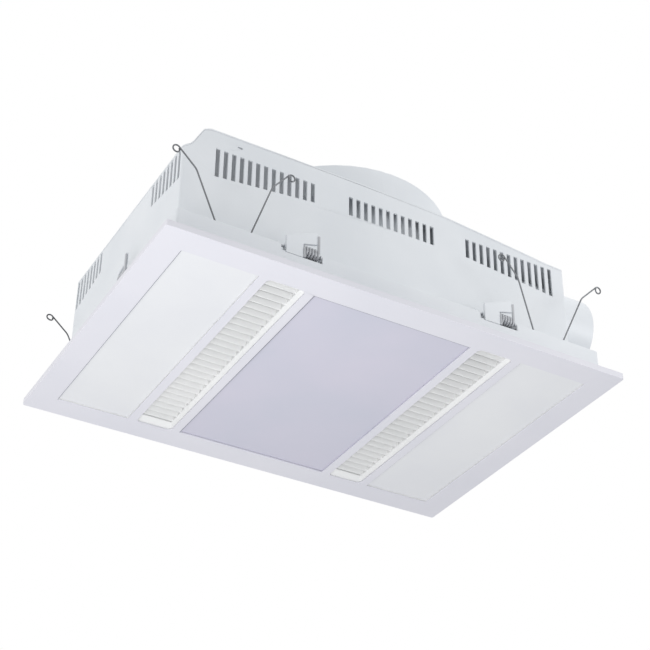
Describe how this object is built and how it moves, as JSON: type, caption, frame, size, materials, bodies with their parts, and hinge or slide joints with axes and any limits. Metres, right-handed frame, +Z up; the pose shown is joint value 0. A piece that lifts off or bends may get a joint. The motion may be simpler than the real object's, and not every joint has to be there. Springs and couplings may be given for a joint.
{
  "type": "bathroom ceiling heater",
  "caption": "Ceiling unit with heater windows, a light, air grilles, a slotted housing with a round fan and outlet, spring clamps and a fascia that drops on wire springs.",
  "frame": {"origin": "centre of the fascia's lower face, below the centre of the ceiling opening", "axes": "+Z up into the ceiling, +X along the fascia's length towards the air outlet, +Y across the fascia"},
  "size_m": [0.593, 0.408, 0.239],
  "materials": {
    "white_shell": "satin",
    "white_fascia": "gloss",
    "white_grille": "satin",
    "frosted_glass": "frosted",
    "milky_diffuser": "milky",
    "spring_steel": "bare wire",
    "zinc_steel": "zinc plated",
    "bright_aluminium": "bright",
    "ceramic": "matt",
    "quartz_tube": "clear",
    "white_board": "matt",
    "black_plastic": "matt",
    "grey_plastic": "matt"
  },
  "bodies": {
    "heater": {"base_frame": "white_shell", "housing_shell": "white_shell", "housing_lid": "white_shell", "fan_housing": "white_shell", "inlet_ring": "white_grille", "fan_motor": "zinc_steel", "motor_bracket": "zinc_steel", "outlet_spigot": "white_shell", "damper_pin": "zinc_steel", "reflector_left": "bright_aluminium", "reflector_right": "bright_aluminium", "heating_tube_left": "quartz_tube", "heating_tube_right": "quartz_tube", "tube_holder_front_left": "ceramic", "tube_holder_front_right": "ceramic", "tube_holder_rear_left": "ceramic", "tube_holder_rear_right": "ceramic", "terminal_box": "grey_plastic", "run_capacitor": "grey_plastic", "cable_gland": "black_plastic", "clamp_spring_front_left": "spring_steel", "clamp_pin_front_left": "zinc_steel", "clamp_spring_front_right": "spring_steel", "clamp_pin_front_right": "zinc_steel", "clamp_spring_rear_left": "spring_steel", "clamp_pin_rear_left": "zinc_steel", "clamp_spring_rear_right": "spring_steel", "clamp_pin_rear_right": "zinc_steel", "clamp_spring_end_left": "spring_steel", "clamp_pin_end_left": "zinc_steel", "clamp_spring_end_right": "spring_steel", "clamp_pin_end_right": "zinc_steel"},
    "fascia": {"fascia_panel": "white_fascia", "light_diffuser": "milky_diffuser", "light_board": "white_board", "light_tray": "zinc_steel", "light_driver": "black_plastic", "heater_glass_left": "frosted_glass", "heater_glass_right": "frosted_glass", "grille_left": "white_grille", "grille_right": "white_grille", "torsion_spring_front_left": "spring_steel", "torsion_spring_front_right": "spring_steel", "torsion_spring_rear_left": "spring_steel", "torsion_spring_rear_right": "spring_steel", "spring_bracket_front_left": "zinc_steel", "spring_bracket_front_right": "zinc_steel", "spring_bracket_rear_left": "zinc_steel", "spring_bracket_rear_right": "zinc_steel"},
    "impeller": {"impeller": "black_plastic", "fan_shaft": "zinc_steel"},
    "damper": {"damper_flap": "white_grille"},
    "clamp_front_left": {"clamp_lever_front_left": "white_shell"},
    "clamp_front_right": {"clamp_lever_front_right": "white_shell"},
    "clamp_rear_left": {"clamp_lever_rear_left": "white_shell"},
    "clamp_rear_right": {"clamp_lever_rear_right": "white_shell"},
    "clamp_end_left": {"clamp_lever_end_left": "white_shell"},
    "clamp_end_right": {"clamp_lever_end_right": "white_shell"}
  },
  "joints": [
    {"name": "fascia_drop", "type": "slide", "parent": "heater", "child": "fascia", "axis": [0, 0, -1], "range_m": [0, 0.085], "stiffness_N_per_m": 150, "springref_m": -0.2, "deforming": ["torsion_spring_front_left", "torsion_spring_front_right", "torsion_spring_rear_left", "torsion_spring_rear_right"]},
    {"name": "impeller_spin", "type": "hinge", "parent": "heater", "child": "impeller", "pos_m": [0.02151, 0, 0.1], "axis": [0, 0, 1], "continuous": true},
    {"name": "damper_swing", "type": "hinge", "parent": "heater", "child": "damper", "pos_m": [0.272, -0.0925, 0.134], "axis": [0, -1, 0], "range_deg": [0, 75]},
    {"name": "clamp_front_left_swing", "type": "hinge", "parent": "heater", "child": "clamp_front_left", "pos_m": [-0.1242, -0.1778, 0.0445], "axis": [1, 0, 0], "range_deg": [0, 80], "stiffness_Nm_per_rad": 0.02, "deforming": ["clamp_spring_front_left"]},
    {"name": "clamp_front_right_swing", "type": "hinge", "parent": "heater", "child": "clamp_front_right", "pos_m": [0.131, -0.1778, 0.0445], "axis": [1, 0, 0], "range_deg": [0, 80], "stiffness_Nm_per_rad": 0.02, "deforming": ["clamp_spring_front_right"]},
    {"name": "clamp_rear_left_swing", "type": "hinge", "parent": "heater", "child": "clamp_rear_left", "pos_m": [-0.131, 0.1778, 0.0445], "axis": [-1, 0, 0], "range_deg": [0, 80], "stiffness_Nm_per_rad": 0.02, "deforming": ["clamp_spring_rear_left"]},
    {"name": "clamp_rear_right_swing", "type": "hinge", "parent": "heater", "child": "clamp_rear_right", "pos_m": [0.1242, 0.1778, 0.0445], "axis": [-1, 0, 0], "range_deg": [0, 80], "stiffness_Nm_per_rad": 0.02, "deforming": ["clamp_spring_rear_right"]},
    {"name": "clamp_end_left_swing", "type": "hinge", "parent": "heater", "child": "clamp_end_left", "pos_m": [-0.2653, -0.03, 0.0445], "axis": [0, -1, 0], "range_deg": [0, 80], "stiffness_Nm_per_rad": 0.02, "deforming": ["clamp_spring_end_left"]},
    {"name": "clamp_end_right_swing", "type": "hinge", "parent": "heater", "child": "clamp_end_right", "pos_m": [0.2653, 0.03, 0.0445], "axis": [0, 1, 0], "range_deg": [0, 80], "stiffness_Nm_per_rad": 0.02, "deforming": ["clamp_spring_end_right"]}
  ]
}
